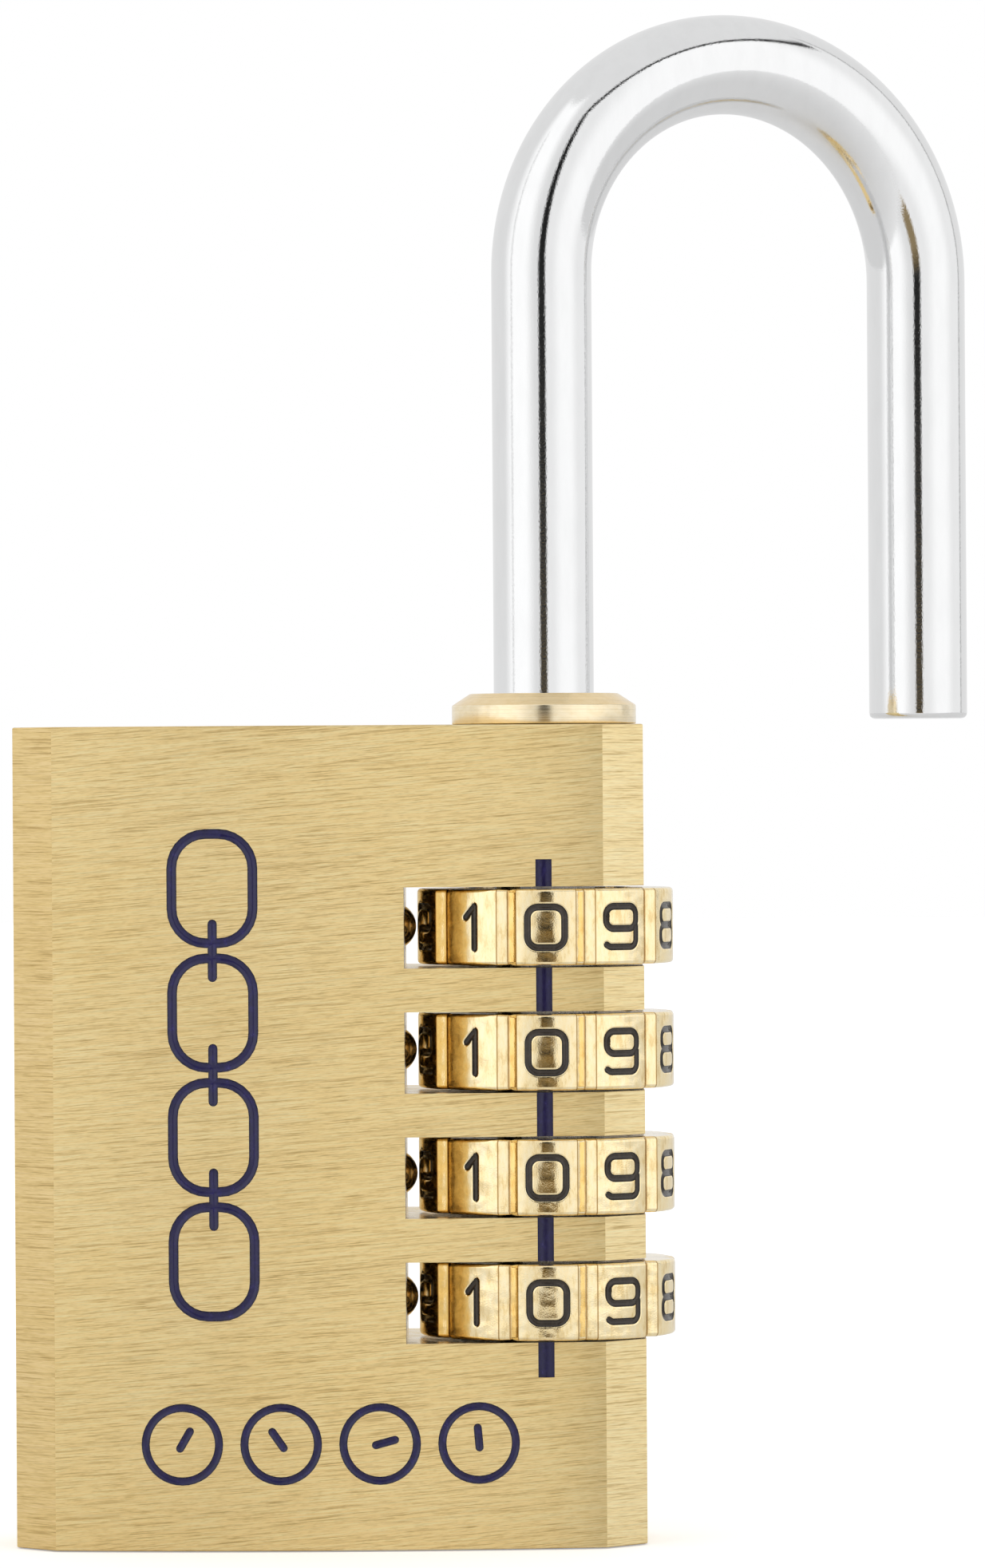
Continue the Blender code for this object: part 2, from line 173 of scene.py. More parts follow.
def smooth(obj, sharp_degrees):
    """Smooth shading in which large faces keep their own normals and small ones bend to meet them."""
    obj.data.shade_smooth()
    obj.data.set_sharp_from_angle(angle=math.radians(sharp_degrees))
    weighted = obj.modifiers.new("weighted", "WEIGHTED_NORMAL")
    weighted.keep_sharp = True
    bpy.context.view_layer.update()
    mesh = evaluated_mesh(obj)
    obj.modifiers.clear()
    obj.data = mesh
    return obj


def box_cutter(name, low, high, material):
    low, high = Vector(low), Vector(high)
    bm = bmesh.new()
    scale = Matrix.Diagonal((*(high - low), 1))
    bmesh.ops.create_cube(bm, size=1, matrix=Matrix.Translation((low + high) / 2) @ scale)
    return placed(name, mesh_from(bm, name, [material]))


def rod_cutter(name, radius, start, end, segments, material):
    """A cylinder from start to end."""
    start, end = Vector(start), Vector(end)
    along = end - start
    turn = along.to_track_quat("Z", "Y").to_matrix().to_4x4()
    bm = bmesh.new()
    bmesh.ops.create_cone(
        bm,
        cap_ends=True,
        segments=segments,
        radius1=radius,
        radius2=radius,
        depth=along.length,
        matrix=Matrix.Translation((start + end) / 2) @ turn,
    )
    return placed(name, mesh_from(bm, name, [material]))


def lathe(name, profile, steps, closed, materials):
    """A turned shape about its own Z axis. An open profile begins and ends on the axis."""
    bm = bmesh.new()
    rings = []
    for radius, z in profile:
        if radius == 0:
            rings.append([bm.verts.new((0, 0, z))])
            continue
        ring = []
        for i in range(steps):
            x, y = polar(radius, math.tau * i / steps)
            ring.append(bm.verts.new((x, y, z)))
        rings.append(ring)
    pairs = list(zip(rings, rings[1:]))
    if closed:
        pairs.append((rings[-1], rings[0]))
    for upper, lower in pairs:
        for i in range(steps):
            j = (i + 1) % steps
            if len(upper) == 1:
                bm.faces.new((upper[0], lower[i], lower[j]))
            elif len(lower) == 1:
                bm.faces.new((upper[i], upper[j], lower[0]))
            else:
                bm.faces.new((upper[i], upper[j], lower[j], lower[i]))
    return mesh_from(bm, name, materials)


def softened(profile, radius, closed=False):
    """The profile with each corner off the axis turned into a small arc."""
    steps = 3
    soft = []
    count = len(profile)
    for i, point in enumerate(profile):
        ends = not closed and i in (0, count - 1)
        if ends or point[0] == 0:
            soft.append(point)
            continue
        here = Vector(point)
        before = Vector(profile[i - 1])
        after = Vector(profile[(i + 1) % count])
        # An arc takes less than half of either side.
        reach = min(radius, (before - here).length / 2.2, (after - here).length / 2.2)
        first = here + (before - here).normalized() * reach
        last = here + (after - here).normalized() * reach
        for step in range(steps + 1):
            t = step / steps
            soft.append(tuple(first * (1 - t) ** 2 + here * 2 * t * (1 - t) + last * t**2))
    return soft


def skin_rings(bm, rings):
    """Joins rings of as many corners each into one closed skin with a flat face at both ends."""
    bm.faces.new(rings[0])
    bm.faces.new(rings[-1])
    for lower, upper in zip(rings, rings[1:]):
        for k in range(len(lower)):
            n = (k + 1) % len(lower)
            bm.faces.new((lower[k], lower[n], upper[n], upper[k]))


def tube(name, points, radius, sides, materials):
    """A round tube along the points, with round ends."""
    places = [Vector(point) for point in points]
    cap_angles = [math.radians(angle) for angle in (84, 60, 32)]
    first = (places[0] - places[1]).normalized()
    last = (places[-1] - places[-2]).normalized()
    head = [places[0] + first * radius * math.sin(angle) for angle in cap_angles]
    tail = [places[-1] + last * radius * math.sin(angle) for angle in reversed(cap_angles)]
    cap_widths = [radius * math.cos(angle) for angle in cap_angles]
    widths = cap_widths + [radius] * len(places) + cap_widths[::-1]
    places = head + places + tail
    bm = bmesh.new()
    rings = []
    side = None
    for i, place in enumerate(places):
        before = places[max(i - 1, 0)]
        after = places[min(i + 1, len(places) - 1)]
        along = (after - before).normalized()
        if side is None:
            side = along.orthogonal().normalized()
        side = (side - along * side.dot(along)).normalized()
        across = along.cross(side)
        ring = []
        for k in range(sides):
            x, y = polar(widths[i], math.tau * k / sides)
            ring.append(bm.verts.new(place + side * x + across * y))
        rings.append(ring)
    skin_rings(bm, rings)
    return mesh_from(bm, name, materials)


def joined_mesh(name, meshes):
    """One mesh from several that lie apart."""
    bm = bmesh.new()
    for mesh in meshes:
        bm.from_mesh(mesh)
    joined = bpy.data.meshes.new(name)
    bm.to_mesh(joined)
    bm.free()
    for material in meshes[0].materials:
        joined.materials.append(material)
    for mesh in meshes:
        bpy.data.meshes.remove(mesh)
    return joined


def rounded(points, radius, closed):
    """A flat polyline with its corners turned into arcs."""
    steps = 7
    places = [Vector(point) for point in points]
    count = len(places)
    path = []
    for i, place in enumerate(places):
        if not closed and i in (0, count - 1):
            path.append(place)
            continue
        into = (place - places[i - 1]).normalized()
        out = (places[(i + 1) % count] - place).normalized()
        turn = into.angle_signed(out)
        if abs(turn) < math.radians(1):
            path.append(place)
            continue
        reach = radius * math.tan(abs(turn) / 2)
        start = place - into * reach
        # angle_signed counts clockwise, so the arc's centre lies on that side.
        inward = Vector((into.y, -into.x)) * math.copysign(1, turn)
        centre = start + inward * radius
        for step in range(steps + 1):
            arm = -inward * radius
            arm.rotate(Matrix.Rotation(-turn * step / steps, 2))
            path.append(centre + arm)
    return path


def dense(path, spacing, closed):
    """The path with points added along its long runs."""
    ends = path[1:] + path[:1] if closed else path[1:]
    result = []
    for start, end in zip(path, ends):
        count = max(1, round((end - start).length / spacing))
        result += [start.lerp(end, i / count) for i in range(count)]
    return result if closed else result + [path[-1]]


def channel(path, outward, section, inks, materials, closed=False):
    """A mesh that cuts a channel along a path on a surface.

    The section lists (across, height) from the middle of the bottom up past a lip, and the other
    side mirrors it. Inks holds each of its segments' material index. Open ends are round in plan.
    """
    count = len(path)
    stations = []
    for i, place in enumerate(path):
        before = path[i - 1] if closed or i else place
        after = path[(i + 1) % count] if closed or i < count - 1 else place
        stations.append((place, (after - before).normalized(), outward[i], 0.0))
    if not closed:
        swings = [math.radians(angle) for angle in (84, 56, 28)]
        head = [(*stations[0][:3], -swing) for swing in swings]
        tail = [(*stations[-1][:3], swing) for swing in reversed(swings)]
        stations = head + stations + tail
    full = section + [(-across, height) for across, height in reversed(section[1:])]
    bands = inks + [0] + inks[::-1]
    bm = bmesh.new()
    rings = []
    for place, along, out, swing in stations:
        side = along.cross(out).normalized()
        ring = []
        for across, height in full:
            swung = side * across * math.cos(swing) + along * abs(across) * math.sin(swing)
            ring.append(bm.verts.new(place + swung + out * height))
        rings.append(ring)
    pairs = list(zip(rings, rings[1:]))
    if closed:
        pairs.append((rings[-1], rings[0]))
    else:
        bm.faces.new(rings[0]).material_index = inks[0]
        bm.faces.new(rings[-1]).material_index = inks[0]
    for lower, upper in pairs:
        for k, band in enumerate(bands):
            n = (k + 1) % len(full)
            bm.faces.new((lower[k], lower[n], upper[n], upper[k])).material_index = band
    return mesh_from(bm, "channel", materials)


def set_normals(obj, normal_of):
    """Gives each corner the normal that normal_of(corner place, face) returns, where it isn't None."""
    mesh = obj.data
    normals = [tuple(corner.vector) for corner in mesh.corner_normals]
    for face in mesh.polygons:
        for corner in face.loop_indices:
            place = mesh.vertices[mesh.loops[corner].vertex_index].co
            normal = normal_of(place, face)
            if normal is not None:
                normals[corner] = tuple(normal)
    mesh.normals_split_custom_set(normals)


# -------- materials
class Nodes:
    """Makes and links the nodes of one tree."""

    def __init__(self, tree):
        self.tree = tree

    def feed(self, socket, value):
        """Links the socket to the value if that is another node's output, and else sets it."""
        if isinstance(value, bpy.types.NodeSocket):
            self.tree.links.new(value, socket)
        else:
            socket.default_value = value

    def node(self, kind, **inputs):
        made = self.tree.nodes.new(kind)
        for name, value in inputs.items():
            self.feed(made.inputs[name.replace("_", " ")], value)
        return made

    def math(self, operation, *values):
        made = self.node("ShaderNodeMath")
        made.operation = operation
        for socket, value in zip(made.inputs, values):
            self.feed(socket, value)
        return made.outputs[0]

    def spread(self, value, low, high, from_low=0.3, from_high=0.7):
        made = self.node("ShaderNodeMapRange", Value=value, From_Min=from_low, From_Max=from_high)
        self.feed(made.inputs["To Min"], low)
        self.feed(made.inputs["To Max"], high)
        return made.outputs["Result"]

    def ramp(self, value, stops):
        made = self.node("ShaderNodeValToRGB", Fac=value)
        elements = made.color_ramp.elements
        while len(elements) < len(stops):
            elements.new(0.5)
        for element, (position, colour) in zip(elements, stops):
            element.position = position
            element.color = (*colour, 1)
        return made.outputs["Color"]


class Look(Nodes):
    """A material whose Principled shader is fed by procedural nodes in object space."""

    def __init__(self, name, colour, roughness, metallic=1.0):
        self.material = bpy.data.materials.new(name)
        self.material.use_nodes = True
        super().__init__(self.material.node_tree)
        self.shader = self.tree.nodes["Principled BSDF"]
        self.shader.inputs["Base Color"].default_value = (*colour, 1)
        self.shader.inputs["Roughness"].default_value = roughness
        self.shader.inputs["Metallic"].default_value = metallic
        self.place = self.node("ShaderNodeTexCoord").outputs["Object"]

    def cells(self, size, tilt=0.0):
        """Coordinates in which a cell of this size, in metres, is one unit. Tilt is about Y."""
        mapping = self.node("ShaderNodeMapping", Vector=self.place, Scale=size, Rotation=(0, tilt, 0))
        mapping.vector_type = "TEXTURE"
        return mapping.outputs["Vector"]

    def noise(self, size, tilt=0.0, detail=3.0, rough=0.55):
        vector = self.cells(size, tilt)
        made = self.node("ShaderNodeTexNoise", Vector=vector, Scale=1.0, Detail=detail, Roughness=rough)
        return made.outputs["Fac"]

    def mix(self, kind, factor, first, second):
        made = self.node("ShaderNodeMix")
        made.data_type = "RGBA"
        made.blend_type = kind
        for index, value in ((0, factor), (6, first), (7, second)):
            self.feed(made.inputs[index], value)
        return made.outputs[2]

    def bump(self, height, depth):
        made = self.node("ShaderNodeBump", Height=height, Strength=1.0, Distance=depth)
        self.feed(self.shader.inputs["Normal"], made.outputs["Normal"])
        return made

    def colour(self, output):
        self.feed(self.shader.inputs["Base Color"], output)

    def roughness(self, output):
        self.feed(self.shader.inputs["Roughness"], output)


def shades(colour, *factors):
    return [tuple(min(channel * factor, 1.0) for channel in colour) for factor in factors]


def tinted(colour, tint):
    return tuple(min(channel * share, 1.0) for channel, share in zip(colour, tint))


def crown_painted_shade(look):
    """Painted shade on a crowned face: white right of the middle, a little greyer at the left and darker at
    the right edge.
    """
    x = look.node("ShaderNodeSeparateXYZ", Vector=look.place).outputs["X"]
    share = look.spread(x, 0.0, 1.0, from_low=-CROWN_HALF_WIDTH, from_high=CROWN_HALF_WIDTH)
    steps = ((0.0, 0.935), (0.28, 0.935), (0.42, 0.97), (0.55, 1.0), (0.72, 1.0))
    steps += ((0.84, 0.965), (0.90, 0.93), (0.955, 0.87), (0.985, 0.80))
    return look.ramp(share, [(place, (grey, grey, grey)) for place, grey in steps])


def brushed_brass(name, colour, tilt, rough, fine=0.00008, across_y=False, with_painted_shade=False):
    """Brass with a straight brushed grain along X: fine lines, a few broader streaks and small flecks.

    The lines lie above each other along Z, or beside each other along Y if across_y is true.
    """
    look = Look(name, colour, rough)

    def streaks(length, width, detail):
        size = (length, width, 0.02) if across_y else (length, 0.02, width)
        return look.noise(size, tilt, detail, rough=0.6)

    lines = streaks(0.0034, fine, 3.0)
    bands = streaks(0.0080, fine * 3.2, 3.0)
    flecks = streaks(0.0007, 0.00008, 1.0)
    cloud = look.noise((0.016, 0.016, 0.010), detail=2.0)
    dark = tinted(colour, (0.62, 0.555, 0.46))
    light = tinted(colour, (1.06, 1.09, 1.24))
    fine_tone = look.ramp(lines, [(0.34, dark), (0.45, colour), (0.52, colour), (0.60, light)])
    band_tone = look.ramp(bands, [(0.33, dark), (0.46, colour), (0.54, colour), (0.67, light)])
    tone = look.mix("MIX", 0.25, fine_tone, band_tone)
    warm = look.ramp(cloud, [(0.35, (0.985, 0.97, 0.93)), (0.65, (1, 1, 1))])
    specks = look.ramp(flecks, [(0.34, (0.90, 0.875, 0.82)), (0.50, (0.98, 0.975, 0.96)), (0.62, (1, 1, 1))])
    tone = look.mix("MULTIPLY", 1.0, look.mix("MULTIPLY", 1.0, tone, warm), specks)
    # Where asked for, the grain's tone is darkened by painted shade across the crowned face.
    look.colour(look.mix("MULTIPLY", 1.0, tone, crown_painted_shade(look)) if with_painted_shade else tone)
    look.roughness(look.spread(lines, rough - 0.05, rough + 0.05))
    look.bump(lines, 0.000003)
    return look.material


def machined_brass(name, colour):
    """Brass as milled or drilled: a faint swirl of tool marks, less bright than the brushed faces."""
    look = Look(name, colour, 0.24)
    marks = look.noise((0.0012, 0.0012, 0.0003), detail=2.0)
    dark, light = shades(colour, 0.80, 1.05)
    look.colour(look.ramp(marks, [(0.3, dark), (0.7, light)]))
    look.roughness(look.spread(marks, 0.16, 0.32))
    look.bump(marks, 0.00001)
    return look.material


def turned_brass(name, colour):
    """Brass off a lathe: rings of tool marks round the piece's own axis."""
    look = Look(name, colour, 0.28)
    rings = look.noise((0.05, 0.05, 0.00007), detail=2.0)
    blur = look.noise((0.0008, 0.0008, 0.0004), detail=3.0)
    dark, mid, light = shades(colour, 0.86, 1.0, 1.08)
    tone = look.ramp(rings, [(0.3, dark), (0.5, mid), (0.7, light)])
    spots = look.ramp(blur, [(0.3, (0.96, 0.93, 0.87)), (0.6, (1, 1, 1))])
    look.colour(look.mix("MULTIPLY", 1.0, tone, spots))
    look.roughness(look.spread(rings, 0.16, 0.25))
    look.bump(rings, 0.0000015)
    return look.material


def groove_painted_shade(look):
    """White, with a thin brown line of painted shade along both edges and the bottom of every groove of a
    wheel.
    """
    parts = look.node("ShaderNodeSeparateXYZ", Vector=look.place)
    angle = look.math("ARCTAN2", parts.outputs["Y"], parts.outputs["X"])
    turn = look.math("MULTIPLY", angle, DIGITS / math.tau)
    half_sector = look.math("MULTIPLY", look.math("PINGPONG", turn, 0.5), 2.0)
    edge = GROOVE_WIDTH / 2 / FACET_EDGE_RADIUS / (math.pi / DIGITS)
    # Brown painted shade for the grooves' edges, fainter at their bottoms.
    no_shade, brown, faint = (1, 1, 1), (0.42, 0.30, 0.16), (0.55, 0.42, 0.27)
    stops = [(0.0, faint), (0.012, faint), (0.034, no_shade), (edge - 0.022, no_shade)]
    stops += [(edge - 0.006, brown), (edge + 0.006, brown), (edge + 0.020, no_shade)]
    return look.ramp(half_sector, stops)


def wheel_brass(name, colour):
    """Polished cast brass, a little uneven, with small rub marks and lines of painted shade in its grooves.
    """
    look = Look(name, colour, 0.12)
    waves = look.noise((0.0016, 0.0016, 0.0013), detail=1.0)
    grain = look.noise((0.00012, 0.00012, 0.00012), detail=2.0)
    rubs = look.noise((0.0006, 0.0006, 0.0018), detail=4.0, rough=0.7)
    dark = tinted(colour, (0.84, 0.78, 0.66))
    light = tinted(colour, (1.04, 1.07, 1.22))
    tone = look.ramp(rubs, [(0.34, dark), (0.47, colour), (0.66, light)])
    # The rub-marked tone is multiplied by the grooves' painted shade lines.
    look.colour(look.mix("MULTIPLY", 1.0, tone, groove_painted_shade(look)))
    look.roughness(look.spread(rubs, 0.05, 0.14))
    fine = look.bump(grain, 0.0000050)
    broad = look.node("ShaderNodeBump", Height=waves, Strength=1.0, Distance=0.00005)
    look.feed(fine.inputs["Normal"], broad.outputs["Normal"])
    return look.material


def chrome(name):
    """Chrome plate on a drawn rod: a mirror with faint draw lines and a fine orange peel."""
    colour = (0.82, 0.823, 0.826)
    look = Look(name, colour, 0.05)
    haze = look.noise((0.0012, 0.0012, 0.004), detail=4.0, rough=0.6)
    peel = look.noise((0.00011, 0.00011, 0.00016), detail=2.0, rough=0.6)
    dark, light = shades(colour, 0.975, 1.005)
    look.colour(look.ramp(haze, [(0.3, dark), (0.6, light)]))
    look.roughness(look.spread(haze, 0.015, 0.04))
    look.bump(peel, 0.0000042)
    return look.material


def plain_steel(name, colour, low, high):
    """Steel as drawn or ground, with small marks a little longer along Z."""
    look = Look(name, colour, (low + high) / 2)
    marks = look.noise((0.0004, 0.0004, 0.0012), detail=3.0)
    dark, light = shades(colour, 0.8, 1.08)
    look.colour(look.ramp(marks, [(0.3, dark), (0.7, light)]))
    look.roughness(look.spread(marks, low, high))
    look.bump(marks, 0.000003)
    return look.material


def paint(name, colour, low, high):
    """Paint run into an engraving, glossy where it pooled and a little worn."""
    look = Look(name, colour, (low + high) / 2, metallic=0.0)
    blots = look.noise((0.0005, 0.0005, 0.0006), detail=4.0, rough=0.65)
    dark, mid, light = shades(colour, 0.75, 1.0, 1.9)
    look.colour(look.ramp(blots, [(0.3, dark), (0.55, mid), (0.75, light)]))
    look.roughness(look.spread(blots, low, high))
    look.bump(blots, 0.00002)
    look.shader.inputs["Specular IOR Level"].default_value = 0.5
    return look.material


GRAIN_TILT = math.radians(-4.5)
# The front and back faces carry painted shade across their crown.
FACE_BRASS = brushed_brass("brass_face", (1.0, 0.785, 0.394), GRAIN_TILT, rough=0.50, with_painted_shade=True)
# The two side facets are one brushed brass in a darker and a lighter copy: painted shade on the left,
# painted light on the right.
LEFT_FACET_PAINTED_SHADE = brushed_brass("brass_left", (0.865, 0.658, 0.310), 0.0, rough=0.38, fine=0.00011)
RIGHT_FACET_PAINTED_LIGHT = brushed_brass("brass_right", (0.995, 0.81, 0.445), 0.0, rough=0.38, fine=0.00011)
END_BRASS = brushed_brass("brass_end", (0.90, 0.70, 0.35), 0.0, rough=0.42, fine=0.00011, across_y=True)
BORE_BRASS = machined_brass("brass_bore", (0.86, 0.67, 0.34))
TURNED_BRASS = turned_brass("brass_turned", (0.95, 0.82, 0.58))
# The collar's chamfer is a darker, warmer copy of the turned brass: a painted reflection of the brass round
# it.
CHAMFER_PAINTED_REFLECTION = turned_brass("brass_chamfer", (0.92, 0.73, 0.43))
WHEEL_BRASS = wheel_brass("brass_wheel", (0.99, 0.81, 0.47))
CHROME = chrome("chrome_rod")
BLUE = paint("blue_fill", (0.012, 0.008, 0.078), 0.12, 0.28)
# A darker copy of the blue paint: painted shade on the sloping walls of the engraved marks.
BLUE_WALL_SHADE = paint("blue_edge", (0.007, 0.005, 0.046), 0.20, 0.34)
GREY = paint("grey_fill", (0.038, 0.027, 0.018), 0.10, 0.26)
# A darker copy of the grey paint: painted shade along the edges of the digits' strokes.
GREY_WALL_SHADE = paint("grey_edge", (0.012, 0.008, 0.005), 0.20, 0.34)
# The steel balls are tinted brass: a painted reflection of the brass round them.
BALL_STEEL_PAINTED_REFLECTION = plain_steel("ball_steel", (0.86, 0.74, 0.56), 0.18, 0.32)
PIN_STEEL = plain_steel("pin_steel", (0.58, 0.58, 0.59), 0.2, 0.36)
WIRE_STEEL = plain_steel("wire_steel", (0.40, 0.40, 0.42), 0.22, 0.4)


# -------- the case
def crown_radius():
    return (CROWN_HALF_WIDTH**2 + CROWN_DROP**2) / (2 * CROWN_DROP)


def face_y(x):
    """The front face's y at this x."""
    radius = crown_radius()
    return -(math.sqrt(radius**2 - x**2) - radius + CASE_HALF_DEPTH)


def case_outline():
    crown = []
    for i in range(CROWN_STEPS + 1):
        x = CROWN_HALF_WIDTH * (1 - 2 * i / CROWN_STEPS)
        crown.append((x, -face_y(x)))
    left = [(-CASE_HALF_WIDTH, SIDE_HALF_DEPTH), (-CASE_HALF_WIDTH, -SIDE_HALF_DEPTH)]
    return crown + left + [(-x, -y) for x, y in crown] + [(-x, -y) for x, y in left]


def case_block():
    """The bare block, with softened rims, crisp uprights and a finish for each kind of face; the left
    facet's darker brass is painted shade and the right facet's lighter brass painted light.
    """
    bm = bmesh.new()
    floor = bm.faces.new([bm.verts.new((x, y, 0)) for x, y in case_outline()])
    raised = bmesh.ops.extrude_face_region(bm, geom=[floor])["geom"]
    top = [item for item in raised if isinstance(item, bmesh.types.BMVert)]
    bmesh.ops.translate(bm, verts=top, vec=(0, 0, CASE_HEIGHT))
    bmesh.ops.recalc_face_normals(bm, faces=bm.faces)
    soft = [edge for edge in bm.edges if edge.verts[0].co.z == edge.verts[1].co.z]
    bmesh.ops.bevel(
        bm, geom=soft, offset=CASE_EDGE, segments=2, profile=0.5, affect="EDGES", clamp_overlap=True
    )
    bm.normal_update()
    least_facet_tilt = math.radians(12)
    for face in bm.faces:
        if abs(face.normal.z) > 0.5:
            face.material_index = 3
        elif abs(face.normal.y) < math.cos(least_facet_tilt):
            # Painted shade and light: the left facet takes a darker copy of the brushed brass, the right a
            # lighter one.
            face.material_index = 1 if face.normal.x < 0 else 2
    finishes_and_painted_light = [FACE_BRASS, LEFT_FACET_PAINTED_SHADE, RIGHT_FACET_PAINTED_LIGHT, END_BRASS]
    return placed("case", mesh_from(bm, "case", finishes_and_painted_light))


def mark(path, closed, width=MARK_WIDTH):
    """A painted groove along a flat path on the front face, its sloping sides in darker paint as painted
    shade.
    """
    half = width / 2
    bottom = [(0, -0.64), (0.15, -0.62), (0.44, -0.52)]
    wall = [(0.66, -0.40), (0.90, -0.22), (1.0, 0.06), (1.0, 0.5)]
    section = [(across * half, height * half) for across, height in bottom + wall]
    # The walls take the darker paint, as painted shade.
    inks = [0, 0, 0, 1, 1, 1]
    points = [Vector((x, face_y(x), z)) for x, z in dense(path, 0.0008, closed)]
    outward = [Vector((0, -1, 0))] * len(points)
    return channel(points, outward, section, inks, [BLUE, BLUE_WALL_SHADE], closed)


def link_marks():
    """A column of chain links, and the thinner bars that join them, as links seen from the side."""
    first, second = [], []
    x = -0.0091
    half_width, half_height, corner = 0.0032, 0.0043, 0.0027
    pitch = 0.0098
    half_bar = 0.0021
    foot_z = 0.0228
    for i in range(4):
        z = foot_z + i * pitch
        corners = [
            (x - half_width, z - half_height),
            (x + half_width, z - half_height),
            (x + half_width, z + half_height),
            (x - half_width, z + half_height),
        ]
        first.append(mark(rounded(corners, corner, True), True))
        if i < 3:
            middle = z + pitch / 2
            bar = [Vector((x, middle - half_bar)), Vector((x, middle + half_bar))]
            second.append(mark(bar, False, MARK_WIDTH * 0.94))
    return first, second


def dial_marks():
    """A row of four dials, each with its pointer at another place."""
    rings, pointers = [], []
    radius, pitch = 0.0029, 0.0078
    tail, tip = 0.12, 0.42
    steps = 40
    z = 0.0084
    for i, degrees in enumerate((60, 125, 15, 95)):
        x = (i - 1.5) * pitch
        circle = [Vector(polar(radius, math.tau * k / steps)) + Vector((x, z)) for k in range(steps)]
        rings.append(mark(circle, True, DIAL_WIDTH))
        direction = Vector(polar(1, math.radians(degrees)))
        pointer = [Vector((x, z)) - direction * radius * tail, Vector((x, z)) + direction * radius * tip]
        pointers.append(mark(pointer, False, DIAL_WIDTH))
    return rings, pointers


def make_case():
    case = case_block()
    far = CASE_HALF_DEPTH + PAST
    side = CASE_HALF_WIDTH + PAST
    above = CASE_HEIGHT + PAST
    cutters = []
    for number in WHEELS:
        z = wheel_z(number)
        low = (SLOT_LEFT_X, -far, z - SLOT_HEIGHT / 2)
        cutters.append(box_cutter(f"slot_{number}", low, (side, far, z + SLOT_HEIGHT / 2), BORE_BRASS))
    for name, radius, low, high in (
        ("bore", BORE_RADIUS, -PAST, above),
        ("bush_seat", SEAT_RADIUS, BUSH_SEAT_Z, above),
        ("plug_seat", SEAT_RADIUS, -PAST, PLUG_SEAT_Z),
    ):
        ends = ((AXIS_X, 0, low), (AXIS_X, 0, high))
        cutters.append(rod_cutter(name, radius, *ends, HOLE_SIDES, BORE_BRASS))
    keyway_low = (AXIS_X - KEYWAY_REACH, -KEYWAY_HALF_WIDTH, KEYWAY_FLOOR_Z)
    keyway_high = (AXIS_X, KEYWAY_HALF_WIDTH, BUSH_SEAT_Z + PAST / 2)
    cutters.append(box_cutter("keyway", keyway_low, keyway_high, BORE_BRASS))
    hole = ((-AXIS_X, 0, SHORT_HOLE_FLOOR_Z), (-AXIS_X, 0, above))
    cutters.append(rod_cutter("short_leg_hole", BORE_RADIUS, *hole, HOLE_SIDES, BORE_BRASS))
    for number in WHEELS:
        z = wheel_z(number)
        ends = ((BALL_HOLE_END_X, 0, z), (SLOT_LEFT_X + PAST / 2, 0, z))
        name = f"ball_hole_{number}"
        cutters.append(rod_cutter(name, BALL_HOLE_RADIUS, *ends, BALL_HOLE_SIDES, BORE_BRASS))
    carved(case, cutters)

    links, bars = link_marks()
    rings, pointers = dial_marks()
    marks = [
        placed("mark_rings", joined_mesh("mark_rings", links + rings)),
        placed("mark_bars", joined_mesh("mark_bars", bars + pointers)),
    ]
    carved(case, [index_cutter(), *marks])
    smooth(case, 25)
    set_normals(case, crown_normal)
    return case


def index_cutter():
    """The square-ended groove that shows which row of digits counts."""
    half = INDEX_WIDTH / 2
    depth = 0.00034
    section = [(-half, -0.5 * half), (-0.5 * half, -depth), (0, -1.2 * depth), (0.5 * half, -depth)]
    section += [(half, -0.5 * half), (half, half), (-half, half)]
    bm = bmesh.new()
    y = face_y(INDEX_X)
    low = bm.faces.new([bm.verts.new((INDEX_X + x, y - out, INDEX_FOOT_Z)) for x, out in section])
    raised = bmesh.ops.extrude_face_region(bm, geom=[low])["geom"]
    top = [item for item in raised if isinstance(item, bmesh.types.BMVert)]
    bmesh.ops.translate(bm, verts=top, vec=(0, 0, INDEX_TOP_Z - INDEX_FOOT_Z))
    return placed("index_line", mesh_from(bm, "index_line", [BLUE]))


def crown_normal(place, face):
    """The true normal on the two crowned faces, and None elsewhere."""
    most_crown_tilt = math.radians(10)
    if abs(face.normal.y) <= math.cos(most_crown_tilt) or face.material_index:
        return None
    side = math.copysign(1, face.normal.y)
    slope = math.asin(place.x / crown_radius())
    return Vector((math.sin(slope), side * math.cos(slope), 0))


# -------- the wheels
def facet_radius(angle):
    """The wheel's outer radius at this angle from a facet's middle."""
    half_groove = GROOVE_WIDTH / 2 / FACET_EDGE_RADIUS
    half_facet = math.pi / DIGITS - half_groove
    away = abs(angle)
    offset = WHEEL_RADIUS - FACET_CURVE
    inside = min(away, half_facet)
    radius = offset * math.cos(inside) + math.sqrt(FACET_CURVE**2 - (offset * math.sin(inside)) ** 2)
    if away > half_facet:
        out = (math.pi / DIGITS - away) / half_groove
        rise = (math.hypot(out, GROOVE_SOFTNESS) - GROOVE_SOFTNESS) / VEE_RISE
        radius -= GROOVE_DEPTH * (1 - rise)
    return radius


def wheel_angles():
    """The angles of one facet and of the groove after it, counted from the facet's middle."""
    facet_steps, half_groove_steps = 14, 9
    half_groove = math.degrees(GROOVE_WIDTH / 2 / FACET_EDGE_RADIUS)
    half_facet = 180 / DIGITS - half_groove
    across = [half_facet * (2 * i / facet_steps - 1) for i in range(facet_steps + 1)]
    down = [half_facet + half_groove * i / half_groove_steps for i in range(1, 2 * half_groove_steps)]
    return [math.radians(angle) for angle in across + down]


